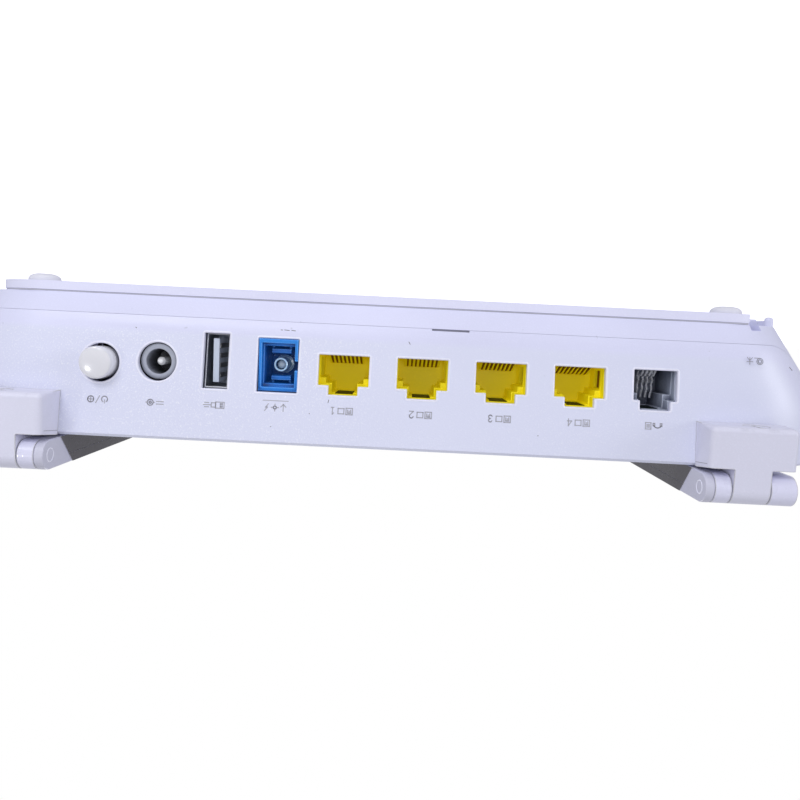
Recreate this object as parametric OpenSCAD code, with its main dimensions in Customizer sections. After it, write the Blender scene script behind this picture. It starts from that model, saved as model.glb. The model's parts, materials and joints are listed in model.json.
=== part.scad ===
// Optical network terminal: a desktop fibre gateway with two folding antennas.
// Frame: +Z up, the feet stand on z = 0, the port panel faces -Y, and X runs along the row of ports.
// Units are millimetres.

/* [Housing] */
// Widest part of the housing
body_w = 242; // [238:1:246]
// Depth of the housing from the port panel to the front edge
body_d = 150; // [146:1:170]
// Height of the top surface above the table
top_z = 38.4; // [38:0.2:42]
// Thickness of the housing walls
wall = 2; // [1.6:0.1:2.4]
// Thickness of the port panel
panel_t = 1.6; // [1.4:0.1:1.8]
// How far the panel's lower edge is set in behind its upper edge
panel_lean = 3.8; // [3.4:0.1:4]
// Height of the parting line between the top cover and the bottom tray, along the panel
part_z = 9.2; // [9:0.05:9.4]
// Height of the parting line at the sides
side_part_z = 17; // [14:0.5:17]

/* [Fibre cover and feet] */
// Half width of the removable bottom cover
cover_half_w = 100; // [97:0.5:100]
// Underside of the bottom cover above the table
cover_z = 1.8; // [1.5:0.1:2.2]
// Thickness of the bottom cover's rim
cover_t = 2.15; // [1.8:0.05:2.2]
// Radius of a foot
foot_r = 3.8; // [3.5:0.1:3.8]

/* [Sockets] */
// Distance between the centres of neighbouring network sockets
lan_pitch = 18.8; // [17:0.1:19]
// Centre of the first network socket
lan_x = 8.6; // [8:0.1:9]
// Lower edge of the network socket openings
lan_z = 16.6; // [16:0.1:17]
// Width of a network socket opening
lan_w = 12.2; // [11.9:0.1:12.4]
// Height of a network socket opening below its latch notch
lan_h = 7.3; // [7:0.1:7.6]
// Centre of the telephone socket
phone_x = -65.8; // [-67:0.1:-65]
// Centre of the optical socket
sc_x = 24.4; // [24:0.1:25]
// Height of the centre of the optical socket
sc_z = 19.65; // [19.5:0.05:19.8]
// Centre of the USB socket
usb_x = 39.2; // [39:0.1:40]
// Height of the centre of the USB socket
usb_z = 19.25; // [19.2:0.05:19.4]
// Centre of the power inlet
dc_x = 53.2; // [53:0.1:54]
// Height of the centre of the power inlet
dc_z = 20.1; // [19.8:0.1:20.4]

/* [Power button] */
// Centre of the power button
button_x = 66.8; // [66:0.1:68]
// Height of the centre of the power button
button_z = 20.9; // [20.4:0.1:21.2]
// Radius of the button cap
button_r = 3.9; // [3.6:0.1:4]
// How far the button stands out of the panel
button_out = 3.4; // [3:0.1:4]
// Radius of the holes in the panel for the button and the power inlet
round_hole_r = 4.65; // [4.6:0.05:4.8]

/* [Antenna hinges] */
// Centre of each hinge from the middle of the housing
hinge_x = 85.7; // [84:0.1:87]
// Height of the hinge axis
hinge_z = 42.5; // [42.4:0.1:44]
// Radius of the hinge barrel
barrel_r = 3.5; // [3.3:0.1:3.7]
// Radius of the hinge pin
pin_r = 1.5; // [1.2:0.1:1.6]
// Width of the bracket's tongue
tongue_w = 8.5; // [8:0.1:9]
// Width of each antenna
antenna_w = 20.9; // [20:0.1:22]
// Length of each antenna from the hinge axis to its tip
antenna_l = 146; // [120:1:150]
// How far the hinge brackets stand out of the port panel
bracket_out = 8; // [7.5:0.1:8.5]
// Width of a hinge bracket
bracket_w = 20; // [19:0.1:21]
// Height of a hinge bracket
bracket_h = 10.5; // [10:0.1:11]
// How far a bracket's top falls away towards its front
bracket_fall = 0.9; // [0.2:0.1:1.6]

/* [Hidden] */
$fn = 48;
eps = 0.01;

// The origin is the middle of the whole object, so the panel and the front edge lie unevenly about it.
panel_y = -(body_d - bracket_out) / 2;
front_y = (body_d + bracket_out) / 2;
hinge_y = panel_y - bracket_out + barrel_r;

tray_z = 4.35;              // underside of the bottom tray
face_z = 11.2;              // lower edge of the flat port panel
round_top = 0.7;            // height of the rounded top edge
corner_r = 38;              // plan radius of the corners at the top
arc_steps = 14;             // straight pieces in each rounded corner
rise_x = [95, 109];         // where the parting line starts and stops rising
parting_steps = 8;
wire_pitch = 1.02;          // distance between the contact wires of a socket
board_z = 12.6;             // top of the circuit board
board_t = 1.6;
board_half_w = 85;
board_rear_y = panel_y + panel_lean + panel_t + 1.5;
board_front_y = 52;
floor_t = 1.6;              // thickness of the tray's floor
tray_ceiling_z = 8.6;       // roof of the fibre compartment
tray_half_w = 62;
tray_y = [-46, 44];         // fibre compartment, rear to front
boss_x = 89;
boss_y = 48;
inlet_x = -92.4;            // middle of the fibre inlet
notch_r = 1.55;             // half width of the fibre inlet
rail_x = cover_half_w + 0.4; // inner faces of the rails that hold the fibre cover
cover_corner_r = 16;

// Insets of the housing's outline from its widest size, by height.
side_insets = [[tray_z, 16], [part_z, 13.7], [face_z, 12.5], [15, 9.8], [20, 6], [25, 3.3], [30, 1.5],
               [top_z - round_top, 0], [top_z, round_top]];
rear_insets = [[tray_z, panel_lean + 5.8], [part_z, panel_lean + 1], [face_z, panel_lean],
               [top_z - round_top, 0], [top_z, round_top]];
front_insets = [[tray_z, 13], [part_z, 8.6], [face_z, 7.2], [15, 5], [20, 3.2], [25, 1.9], [30, 0.9],
                [top_z - round_top, 0], [top_z, round_top]];
side_lifts = [[tray_z + floor_t, 0], [part_z, side_part_z - part_z], [face_z, side_part_z - part_z],
              [15, 6.3], [20, 4], [25, 2], [30, 0.6], [top_z - wall, 0], [top_z, 0]];
corner_radii = [[tray_z, 23], [face_z, 26], [top_z - round_top, corner_r],
                [top_z, corner_r - round_top]];

// The flat panel's outer and inner faces at a height.
function panel_outer_y(z) =
    panel_y + panel_lean * (top_z - round_top - z) / (top_z - round_top - face_z);
function panel_inner_y(z) = panel_outer_y(z) + panel_t;

jack_y = panel_inner_y(lan_z + 5) + 0.05;

WHITE = [0.80, 0.80, 0.90];
SHELL = [0.78, 0.78, 0.84];
YELLOW = [0.85, 0.75, 0.08];
GREY = [0.55, 0.58, 0.62];
BLUE = [0.12, 0.36, 0.80];
BLACK = [0.09, 0.09, 0.10];
GOLD = [0.83, 0.68, 0.32];
STEEL = [0.72, 0.73, 0.75];
BOARD = [0.06, 0.30, 0.16];

// ---------- housing shape ----------

// How far the parting line has risen at a distance from the middle, from 0 to 1.
function rise(x) = let (t = max(0, min(1, (abs(x) - rise_x[0]) / (rise_x[1] - rise_x[0])))) t * t;

// A point of the housing's plan at a height, shrunk by a wall thickness: a corner's side and angle.
function plan_point(z, skin, sx, sy, a) =
    let (half_w = body_w / 2 - lookup(z, side_insets) - skin,
         r = lookup(z, corner_radii) - skin,
         rear = panel_y + lookup(z, rear_insets) + (skin > 0 ? panel_t : 0),
         front = front_y - lookup(z, front_insets) - skin)
    [sx * (half_w - r + r * cos(a)), (sy < 0 ? rear + r : front - r) + sy * r * sin(a), z];

// The plan's ring of points. Its lower creases rise round the corners with the parting line.
function plan_ring(z, skin) =
    [for (c = [[1, 1], [-1, 1], [-1, -1], [1, -1]], i = [0:arc_steps])
        let (a = 90 * (c[0] * c[1] > 0 ? i : arc_steps - i) / arc_steps,
             s = rise(plan_point(15, 0, c[0], c[1], a)[0]))
        plan_point(z + s * lookup(z, side_lifts), skin, c[0], c[1], a)];

// The solid through the plans at rising heights.
module stacked_plans(heights, skin) {
    n = 4 * (arc_steps + 1);
    top = len(heights) - 1;
    polyhedron(
        points = [for (z = heights) each plan_ring(z, skin)],
        faces = concat(
            [[for (i = [0:n - 1]) i]],
            [[for (i = [n - 1:-1:0]) top * n + i]],
            [for (k = [0:top - 1], i = [0:n - 1])
                let (j = (i + 1) % n) [k * n + i, (k + 1) * n + i, (k + 1) * n + j]],
            [for (k = [0:top - 1], i = [0:n - 1])
                let (j = (i + 1) % n) [k * n + i, (k + 1) * n + j, k * n + j]]));
}

module housing_solid() {
    stacked_plans([tray_z, part_z, face_z, 15, 20, 25, 30, top_z - round_top, top_z], 0);
}

module housing_space() {
    stacked_plans([tray_z + floor_t, part_z, face_z, 15, 20, 25, 30, top_z - wall], wall);
}

// A prism along X or Y over a profile.
module along_x(half_l) { rotate([90, 0, 90]) linear_extrude(2 * half_l, center = true) children(); }
module along_y(half_l) { rotate([90, 0, 0]) linear_extrude(2 * half_l, center = true) children(); }

// The parting line from the middle outwards, at one side. It rises towards the sides.
function parting(gap) =
    [for (i = [0:parting_steps])
        let (x = rise_x[0] + (rise_x[1] - rise_x[0]) * i / parting_steps)
        [x, part_z - gap + (side_part_z - part_z) * rise(x)]];

// Everything above the parting line, or below it, seen along Y.
module parted(z_far, gap) {
    edge = concat(parting(gap), [[body_w, side_part_z - gap], [body_w, z_far]]);
    n = len(edge);
    along_y(body_d)
        polygon(concat([for (i = [n - 1:-1:0]) [-edge[i][0], edge[i][1]]], edge));
}

module above_parting() { parted(top_z + 1, 0); }
module below_parting() { parted(0, 0.05); }

// Everything behind the panel's inner face, or in front of its outer face.
module behind_panel() {
    along_x(body_w)
        polygon([[panel_inner_y(0) + 0.05, 0], [body_d, 0], [body_d, top_z],
                 [panel_inner_y(top_z) + 0.05, top_z]]);
}

module before_panel() {
    along_x(body_w)
        polygon([[panel_outer_y(0) - 0.05, 0], [-body_d, 0], [-body_d, 2 * top_z],
                 [panel_y - 0.05, 2 * top_z], [panel_y - 0.05, top_z - round_top]]);
}

// ---------- sockets' outlines, drawn as seen on the panel and pushed along +Y ----------

module through_panel(x, z, depth, y0) {
    translate([x, y0, z]) rotate([-90, 0, 0]) mirror([0, 1, 0]) linear_extrude(depth) children();
}

module jack_opening(w, h, notch_w, notch_h, grow) {
    translate([-w / 2 - grow, -grow]) square([w + 2 * grow, h + 2 * grow]);
    translate([-notch_w / 2 - grow, 0]) square([notch_w + 2 * grow, h + notch_h + grow]);
}

module lan_opening(grow = 0) { jack_opening(lan_w - 0.3, lan_h - 0.2, 6.8, 2.2, grow); }
module phone_opening(grow = 0) { jack_opening(10.1, 7.1, 7.0, 2.2, grow); }

module panel_openings() {
    depth = panel_lean + panel_t + 1;
    y0 = panel_y - 0.5;
    for (i = [0:3])
        through_panel(lan_x - i * lan_pitch, lan_z, depth, y0) lan_opening(0.15);
    through_panel(phone_x, lan_z - 0.1, depth, y0) phone_opening(0.15);
    through_panel(sc_x, sc_z, depth, y0) square([9.8, 12.9], center = true);
    through_panel(usb_x, usb_z, depth, y0) square([6.2, 13.3], center = true);
    for (hole = [[dc_x, dc_z], [button_x, button_z]])
        through_panel(hole[0], hole[1], depth, y0) circle(r = round_hole_r);
    for (side = [-1, 1])
        through_panel(side * hinge_x, top_z - bracket_h / 2, depth, y0) circle(r = 3.05);
}

// ---------- housing ----------

module side_vents() {
    for (side = [-1, 1], i = [0:11])
        translate([side * (body_w / 2 - 4), (i - 5.5) * 6.4 + 8, 25]) cube([14, 2.2, 9], center = true);
}

module at_bosses() {
    for (sx = [-1, 1], sy = [-1, 1])
        translate([sx * boss_x, sy * boss_y, 0]) children();
}

module at_board_posts() {
    for (sx = [-1, 1], y = [-52, 40])
        translate([sx * 78, y, 0]) children();
}

module at_light_pipes() {
    for (i = [-2.5:2.5])
        translate([i * 10, board_front_y - 6, 0]) children();
}

module top_cover() color(WHITE) {
    boss_z = part_z + 1.6;
    difference() {
        union() {
            intersection() {
                difference() {
                    housing_solid();
                    housing_space();
                }
                above_parting();
            }
            at_bosses() translate([0, 0, boss_z]) cylinder(r = 3.2, h = top_z - wall / 2 - boss_z);
        }
        panel_openings();
        side_vents();
        at_bosses() translate([0, 0, boss_z - 1]) cylinder(r = 1.25, h = 12);
        at_light_pipes() translate([0, 0, top_z - wall - 1]) cylinder(r = 1.3, h = wall + 2);
        // Pry slot in the parting line, beside the middle of the panel.
        translate([-21, panel_y - 1, part_z - 0.5]) cube([9, panel_lean + 4, 0.95]);
    }
}

module bottom_tray() color(WHITE) {
    difference() {
        union() {
            intersection() {
                difference() {
                    housing_solid();
                    housing_space();
                }
                below_parting();
            }
            // Raised roof and walls of the fibre compartment.
            translate([-tray_half_w - 1.4, tray_y[0] - 1.4, tray_z])
                cube([2 * tray_half_w + 2.8, tray_y[1] - tray_y[0] + 2.8,
                      tray_ceiling_z + 1.4 - tray_z]);
            at_bosses() translate([0, 0, tray_z]) cylinder(r = 3.2, h = part_z + 1.5 - tray_z);
            at_board_posts() translate([0, 0, tray_z]) cylinder(r = 2.8, h = board_z - board_t - tray_z);
            cover_rails();
            inlet_guide();
        }
        translate([-tray_half_w, tray_y[0], tray_z - 1])
            cube([2 * tray_half_w, tray_y[1] - tray_y[0], tray_ceiling_z + 1 - tray_z]);
        at_bosses() translate([0, 0, tray_z - 1]) {
            cylinder(r = 1.6, h = 12);
            cylinder(r = 2.9, h = 2.6);
        }
        at_board_posts() translate([0, 0, tray_z + floor_t]) cylinder(r = 1.25, h = 12);
        fibre_inlet();
    }
    fibre_guides();
}

// Curved posts that keep the stored fibre from bending too tightly.
module fibre_guides() {
    for (sx = [-1, 1], sy = [-1, 1])
        translate([sx * 34, sy * 18 - 1, tray_z])
            mirror([sx > 0 ? 0 : 1, 0, 0]) mirror([0, sy > 0 ? 0 : 1, 0])
                rotate_extrude(angle = 90)
                    translate([10.6, 0]) square([1.4, tray_ceiling_z - tray_z + 0.1]);
}

// Grooved rails on both sides of the fibre cover.
module cover_rails() {
    for (side = [-1, 1])
        along_rail(side, [rail_x, rail_x + 3.6, cover_z + 0.2, tray_z + 0.1], [-36, 42])
            translate([rail_x - 1, cover_z + 0.95]) square([2.4, 1.1]);
}

// A bar along Y over x, z and y ranges, less a groove.
module along_rail(side, box, y) {
    mirror([side > 0 ? 0 : 1, 0, 0])
        translate([0, (y[0] + y[1]) / 2, 0])
            mirror([0, 1, 0]) along_y((y[1] - y[0]) / 2)
                difference() {
                    translate([box[0], box[2]]) square([box[1] - box[0], box[3] - box[2]]);
                    children();
                }
}

// The channel at the rear corner where the incoming fibre enters under the housing.
module fibre_inlet() {
    depth = 1.4;
    translate([inlet_x - notch_r, panel_y - 1, tray_z - 1]) cube([2 * notch_r, 33, 1 + depth]);
    translate([inlet_x - notch_r, -43.5, tray_z - 1])
        cube([notch_r - inlet_x - tray_half_w + 2, 2 * notch_r, 1 + depth]);
}

// Rounded guide beside the fibre inlet.
module inlet_guide() {
    h = tray_z - cover_z;
    translate([inlet_x - notch_r - 6.45, -50, cover_z + 0.1]) {
        rotate_extrude()
            polygon([[0, 0], [0.5, 0], [0.85, 0.2], [1.05, 0.55], [1.1, 0.9], [1.1, h], [0, h]]);
        translate([-1, 0, 0.9]) cube([2, 9, h - 0.9]);
    }
}

module fibre_cover() color(WHITE) {
    rim_y = [panel_y + panel_lean + 5.8, front_y - 22];
    r = cover_corner_r;
    rib = 1.6;
    difference() {
        union() {
            translate([0, 0, cover_z]) linear_extrude(cover_t)
                cover_outline(cover_half_w, rim_y, r, 0);
            // Tongues that run in the rails' grooves.
            for (side = [-1, 1], y = [-12, 34])
                translate([side * cover_half_w - 1, y, cover_z + 1.1]) cube([2, 8, 0.8]);
        }
        translate([0, 0, cover_z + 1.5]) linear_extrude(cover_t)
            cover_outline(cover_half_w - rib, [rim_y[0] + rib, rim_y[1] - rib], r - rib, rib);
        for (i = [1:4])
            translate(concat(foot_place(i), [cover_z - 1])) cylinder(r = foot_r + 0.15, h = 1.5);
    }
}

// The cover's plan, with one rear corner cut back to leave the fibre inlet free.
module cover_outline(half_w, y, r, rib) {
    difference() {
        union() {
            translate([-half_w, y[0] + r]) square([2 * half_w, y[1] - y[0] - 2 * r]);
            translate([-half_w + r, y[0]]) square([2 * half_w - 2 * r, y[1] - y[0]]);
            for (sx = [-1, 1], cy = [y[0] + r, y[1] - r])
                translate([sx * (half_w - r), cy]) circle(r = r);
        }
        translate([inlet_x + notch_r + 0.15 + rib - 30, -38 + rib - 40]) square([30, 40]);
    }
}

function foot_place(i) = [i % 2 == 1 ? -86.3 : 86.3, i > 2 ? front_y - 30 : panel_y + 15];

module rubber_foot(i) color([0.86, 0.86, 0.90]) {
    top = cover_z + 0.5;
    translate(foot_place(i))
        rotate_extrude()
            polygon([[0, 0], [foot_r - 2, 0], [foot_r - 1, 0.25], [foot_r - 0.35, 0.65],
                     [foot_r - 0.05, 1.15], [foot_r, 1.5], [foot_r, top], [0, top]]);
}

// ---------- circuit board and what stands on it ----------

module main_board() color(BOARD)
    difference() {
        translate([-board_half_w, board_rear_y, board_z - board_t])
            cube([2 * board_half_w, board_front_y - board_rear_y, board_t]);
        at_board_posts() translate([0, 0, board_z - 3]) cylinder(r = 1.6, h = 6);
    }

module on_board(x, y, w, d, h) {
    translate([x - w / 2, y - d / 2, board_z]) cube([w, d, h]);
}

// A block on the board whose front follows the leaning panel.
module jack_body(x, w, z0, z1, depth) {
    intersection() {
        translate([x - w / 2, jack_y - 3, z0]) cube([w, depth + 3, z1 - z0]);
        behind_panel();
    }
}

module lan_jack(i) color(YELLOW) {
    x = lan_x - (i - 1) * lan_pitch;
    difference() {
        jack_body(x, 16, board_z, 27.4, 18);
        // Mouth, then the narrower space for the plug's body behind two stops.
        through_panel(x, lan_z, 4.2, jack_y - 2) lan_opening();
        through_panel(x, lan_z, 14.5, jack_y - 2) lan_opening_inner();
        comb_slots(x, 8);
        // Slots in the side walls, and the open end of the latch notch.
        for (side = [-1, 1])
            translate([x + side * 6.5 - 0.8, jack_y + 3.4, lan_z + 0.8]) cube([1.6, 5, 4.4]);
        translate([x - 2.2, jack_y + 0.9, lan_z + 9]) cube([4.4, 9.4, 3]);
    }
    contact_comb(x, 8);
}

// Grooves under the contact wires.
module comb_slots(x, wires) {
    for (k = [0:wires - 1])
        translate([x + (k - (wires - 1) / 2) * wire_pitch - 0.28, jack_y + 1.6, board_z + 1.2])
            cube([0.56, 9.2, lan_z - board_z]);
}

// Ribs between the contact wires, rising towards the back of the socket.
module contact_comb(x, wires) {
    for (k = [0:wires])
        translate([x + (k - wires / 2) * wire_pitch - 0.21, 0, 0]) rotate([90, 0, 90]) linear_extrude(0.42)
            polygon([[jack_y + 4, lan_z - 0.3], [jack_y + 9.4, lan_z - 0.3], [jack_y + 9.4, lan_z + 2.1],
                     [jack_y + 9, lan_z + 2.1]]);
}

module lan_opening_inner() {
    translate([-5.85, 0]) square([11.7, 5.6]);
    translate([-4.6, 0]) square([9.2, 6.9]);
    translate([-3.1, 0]) square([6.2, 9.1]);
}

// Contact wires: each has a short foot in the comb, then a spring finger that leans up into the socket.
module lan_contacts(i) color(GOLD)
    for (k = [-3.5:3.5])
        translate([lan_x - (i - 1) * lan_pitch + k * wire_pitch - 0.2, jack_y + 1.8, lan_z - 0.75])
            rotate([90, 0, 90]) linear_extrude(0.4)
                polygon([[0, 0], [1.1, -0.6], [1.5, -0.6], [1.7, 0], [8.2, 2.6], [8.1, 3], [0.9, 0.55],
                         [0, 0.55]]);

module phone_jack() color(GREY)
    difference() {
        jack_body(phone_x, 13.4, board_z, 27.4, 18);
        through_panel(phone_x, lan_z - 0.1, 4.2, jack_y - 2) phone_opening();
        through_panel(phone_x, lan_z - 0.1, 15, jack_y - 2) {
            translate([-4.85, 0]) square([9.7, 5.8]);
            translate([-3.1, 0]) square([6.2, 9.1]);
        }
        comb_slots(phone_x, 4);
        translate([phone_x - 2.2, jack_y + 0.9, lan_z + 9]) cube([4.4, 9.4, 3]);
    }

// Spring wires with two kinks.
module phone_contacts() color(STEEL)
    for (k = [-1.5:1.5])
        translate([phone_x + k * wire_pitch - 0.2, jack_y + 1.8, lan_z - 0.75]) rotate([90, 0, 90])
            linear_extrude(0.4)
                polygon([[0, 0], [1.7, 0], [3.6, 1.9], [4.6, 1.9], [6.4, 3.7], [7.4, 3.7], [8.6, 4.8],
                         [8.3, 5.1], [7.2, 4.15], [6.2, 4.15], [4.4, 2.35], [3.4, 2.35], [1.5, 0.5], [0, 0.5]]);

module usb_shell() color(STEEL)
    difference() {
        jack_body(usb_x, 5.7, usb_z - 6.55, usb_z + 6.55, 14);
        translate([usb_x - 2.5, jack_y - 3, usb_z - 6.2]) cube([5, 16.2, 12.4]);
    }

module usb_tongue() color([0.62, 0.66, 0.70]) {
    translate([usb_x - 0.2, jack_y + 1.0, usb_z - 5.3]) cube([1.4, 12.15, 10.6]);
    translate([usb_x - 2.45, jack_y + 10.2, usb_z - 6.15]) cube([4.9, 3, 12.3]);
}

module usb_contacts() color(GOLD)
    for (k = [-1.5:1:1.5])
        translate([usb_x - 0.41, jack_y + 1.8, usb_z + k * 2.4 - 0.55]) cube([0.2, 8.3, 1.1]);

module dc_jack_body() color([0.30, 0.32, 0.34]) {
    y0 = panel_outer_y(dc_z) + 1.3;
    difference() {
        union() {
            translate([dc_x, y0, dc_z]) rotate([-90, 0, 0]) cylinder(r = 4.3, h = 4);
            translate([dc_x - 4.5, y0 + 2.9, board_z]) cube([9, 10.6, dc_z + 3.6 - board_z]);
        }
        translate([dc_x, y0 - 1, dc_z]) rotate([-90, 0, 0]) cylinder(r = 3.05, h = 10.5);
        translate([dc_x - 0.9, y0 + 2.9, dc_z - 4.4]) cube([1.8, 7, 2.5]);
    }
}

module dc_jack_pin() color(STEEL) {
    y0 = panel_outer_y(dc_z) + 2.6;
    translate([dc_x, y0 + 0.6, dc_z]) rotate([-90, 0, 0]) cylinder(r = 1, h = 7.58);
    translate([dc_x, y0, dc_z]) rotate([-90, 0, 0]) cylinder(r1 = 0.5, r2 = 1, h = 0.6);
}

module dc_jack_spring() color(STEEL)
    translate([dc_x - 0.7, panel_outer_y(dc_z) + 4.3, dc_z - 4.35]) rotate([90, 0, 90]) linear_extrude(1.4)
        polygon([[0, 0], [6.8, 0], [6.8, 0.35], [4.4, 0.35], [2.2, 1.75], [1.9, 1.75], [3.6, 0.35], [0, 0.35]]);

module switch_body() color(BLACK)
    difference() {
        on_board(button_x, panel_y + 20.5, 8.4, 13, 12.4);
        translate([button_x, panel_y + 13, button_z]) rotate([-90, 0, 0]) cylinder(r = 2.3, h = 9.5);
    }

module switch_plunger() color([0.85, 0.85, 0.86])
    translate([button_x, panel_outer_y(button_z) + 5.5, button_z]) rotate([-90, 0, 0]) cylinder(r = 2, h = 9);

module power_button() color([0.88, 0.88, 0.87])
    translate([button_x, panel_outer_y(button_z), button_z]) rotate([90, 0, 0]) rotate_extrude()
        polygon([[0, -5.5], [button_r, -5.5], [button_r, button_out - 0.7], [button_r - 0.12, button_out - 0.3],
                 [button_r - 0.5, button_out - 0.04], [button_r - 1.2, button_out], [0, button_out]]);

// ---------- optical parts ----------

sc_y = panel_outer_y(sc_z) + 0.6;      // front of the optical adapter

module fibre_adapter() color(BLUE)
    difference() {
        translate([sc_x - 4.7, sc_y, sc_z - 6.3]) cube([9.4, 24, 12.6]);
        // Mouth, then the plug's space.
        through_panel(sc_x, sc_z, 3, sc_y - 0.5) square([7.9, 10.6], center = true);
        through_panel(sc_x, sc_z, 14, sc_y - 0.5) square([7.45, 9.1], center = true);
        // Key slot in the side wall.
        translate([sc_x - 4.8, sc_y - 1, sc_z - 1.1]) cube([2, 12, 2.2]);
    }

module fibre_latch_arms() color(BLUE)
    for (up = [-1, 1])
        translate([sc_x - 2.4, sc_y + 4.5, sc_z]) mirror([0, 0, up < 0 ? 1 : 0]) {
            translate([0, 0, 2.6]) rotate([90, 0, 90]) linear_extrude(4.8)
                polygon([[0, 0.3], [0.9, 0], [2.2, 0], [3, 0.6], [8.98, 0.6], [8.98, 1.2], [0, 1.2]]);
            for (x = [0, 4.2])
                translate([x, 0.8, 3.7]) cube([0.6, 7.6, 0.8]);
        }

module fibre_sleeve() color([0.85, 0.86, 0.85])
    difference() {
        translate([sc_x, sc_y + 3.9, sc_z]) rotate([-90, 0, 0]) {
            cylinder(r = 1.65, h = 9.58);
            translate([0, 0, 6]) cylinder(r = 2.3, h = 3.58);
        }
        translate([sc_x, sc_y + 3, sc_z]) rotate([-90, 0, 0]) cylinder(r = 1.25, h = 8);
    }

module optical_module() color(STEEL) {
    on_board(-66, -26, 14, 26, 8.5);
    translate([-66, -39, board_z + 4.2]) rotate([90, 0, 0]) cylinder(r = 2.4, h = 6);
}

// ---------- electronics ----------

module processor_heatsink() color([0.55, 0.56, 0.58]) {
    on_board_at(28, 8, 36, 36, 2.2, 2.4);
    for (i = [-4:4])
        translate([28 + i * 4 - 0.6, 8 - 18, board_z + 4.5]) cube([1.2, 36, 9]);
}

module on_board_at(x, y, w, d, lift, h) {
    translate([x - w / 2, y - d / 2, board_z + lift]) cube([w, d, h]);
}

module wifi_shield_can() color(STEEL)
    difference() {
        on_board(-30, 8, 44, 34, 3.4);
        translate([-30 - 21.7, 8 - 16.7, board_z - 1]) cube([43.4, 33.4, 4.1]);
    }

module board_chips() color(BLACK) {
    on_board(28, 8, 20, 20, 2.15);
    on_board(-38, 4, 12, 12, 1.2);
    on_board(-20, 12, 9, 9, 1.2);
    on_board(60, -8, 11, 16, 1.2);
    for (i = [0:3])
        on_board(lan_x - i * lan_pitch, jack_y + 27, 12, 9, 5.4);
}

module board_capacitors() color([0.20, 0.21, 0.26])
    for (p = [[72, -26, 4, 12], [62, -28, 4, 12], [74, 20, 3.2, 9], [66, 34, 3.2, 9]])
        translate([p[0], p[1], board_z]) cylinder(r = p[2], h = p[3]);

module light_pipes() color([0.90, 0.93, 0.95])
    at_light_pipes() translate([0, 0, board_z + 1.1]) cylinder(r = 1.2, h = top_z - board_z - 1.1);

module indicator_leds() color([0.55, 0.85, 0.45])
    at_light_pipes() on_board(0, 0, 2, 1.4, 0.9);

// A pan-head screw standing on its head at the origin, pointing up.
module screw(r, head_r, head_h, l) {
    difference() {
        union() {
            cylinder(r = head_r, h = head_h);
            cylinder(r = r, h = head_h + l);
        }
        for (a = [0, 90])
            rotate(a) translate([-head_r * 0.6, -0.25, -1]) cube([head_r * 1.2, 0.5, 1.7]);
    }
}

module housing_screws() color(STEEL)
    at_bosses() translate([0, 0, tray_z + 0.1]) screw(1.2, 2.6, 1.45, 12);

module board_screws() color(STEEL)
    at_board_posts() translate([0, 0, board_z + 1.4]) rotate([180, 0, 0]) screw(1.2, 2.6, 1.35, 5);

// A cable along a chain of points.
module lead(points, r) {
    for (i = [0:len(points) - 2])
        hull() {
            translate(points[i]) sphere(r = r, $fn = 12);
            translate(points[i + 1]) sphere(r = r, $fn = 12);
        }
}

module antenna_pigtails() color(BLACK)
    for (side = [-1, 1])
        lead([for (p = [[85.7, -65.2, 33.1], [85.6, -60, 33], [85, -55.5, 31.3], [84, -52, 28],
                        [83, -49.5, 24], [82, -47, 19.5], [81.2, -44.5, 16], [80.6, -41.5, 14.2], [80.2, -38, 13.5]])
              [side * p[0], p[1], p[2]]], 0.7);

// ---------- antenna hinges ----------

module at_hinge(side) { translate([side * hinge_x, hinge_y, hinge_z]) children(); }
module hinge_cylinder(r, w) { rotate([0, 90, 0]) cylinder(r = r, h = w, center = true); }

module hinge_bracket(side) color(SHELL) {
    r = 1.4;
    z0 = top_z - bracket_h;
    stub_z = top_z - bracket_h / 2;
    tongue_z = top_z - bracket_fall - 0.6;
    difference() {
        union() {
            intersection() {
                hull() {
                    for (sx = [-1, 1])
                        translate([side * hinge_x + sx * (bracket_w / 2 - r),
                                   panel_y - bracket_out + r, z0 + r]) {
                            sphere(r = r, $fn = 32);
                            translate([0, 0, bracket_h - bracket_fall - r - 0.4])
                                cylinder(r = r, h = 0.4, $fn = 32);
                        }
                    translate([side * hinge_x - bracket_w / 2, panel_y - 1, z0])
                        cube([bracket_w, 4, bracket_h]);
                }
                before_panel();
            }
            translate([side * hinge_x - tongue_w / 2, hinge_y - barrel_r, tongue_z])
                cube([tongue_w, 2 * barrel_r, hinge_z - tongue_z]);
            at_hinge(side) hinge_cylinder(barrel_r, tongue_w);
            translate([side * hinge_x, panel_y - 1, stub_z]) rotate([-90, 0, 0]) cylinder(r = 3, h = 6);
        }
        at_hinge(side) hinge_cylinder(pin_r + 0.05, bracket_w);
        translate([side * hinge_x, panel_y - 0.5, stub_z]) rotate([-90, 0, 0]) cylinder(r = 1.6, h = 12);
        translate([side * (hinge_x + 1.6), panel_y - bracket_out / 2, z0 - 1]) {
            cylinder(r = 2.9, h = 2.6);
            cylinder(r = 1.25, h = 6.4);
        }
    }
}

module bracket_screw(side) color(SHELL)
    translate([side * (hinge_x + 1.6), panel_y - bracket_out / 2, top_z - bracket_h + 0.12])
        screw(1.2, 2.8, 1.4, 3.2);

module hinge_pin(side) color(STEEL)
    at_hinge(side) hinge_cylinder(pin_r, antenna_w - 0.5);

// The antenna's side view: a round nose about the pin, then a flat bar.
module bar_profile(l) {
    circle(r = barrel_r);
    translate([0, -barrel_r]) square([l, 2 * barrel_r]);
}

module bar(side, l, x0, x1) {
    at_hinge(side) translate([x0, 0, 0]) rotate([90, 0, 90]) linear_extrude(x1 - x0) bar_profile(l);
}

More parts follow.
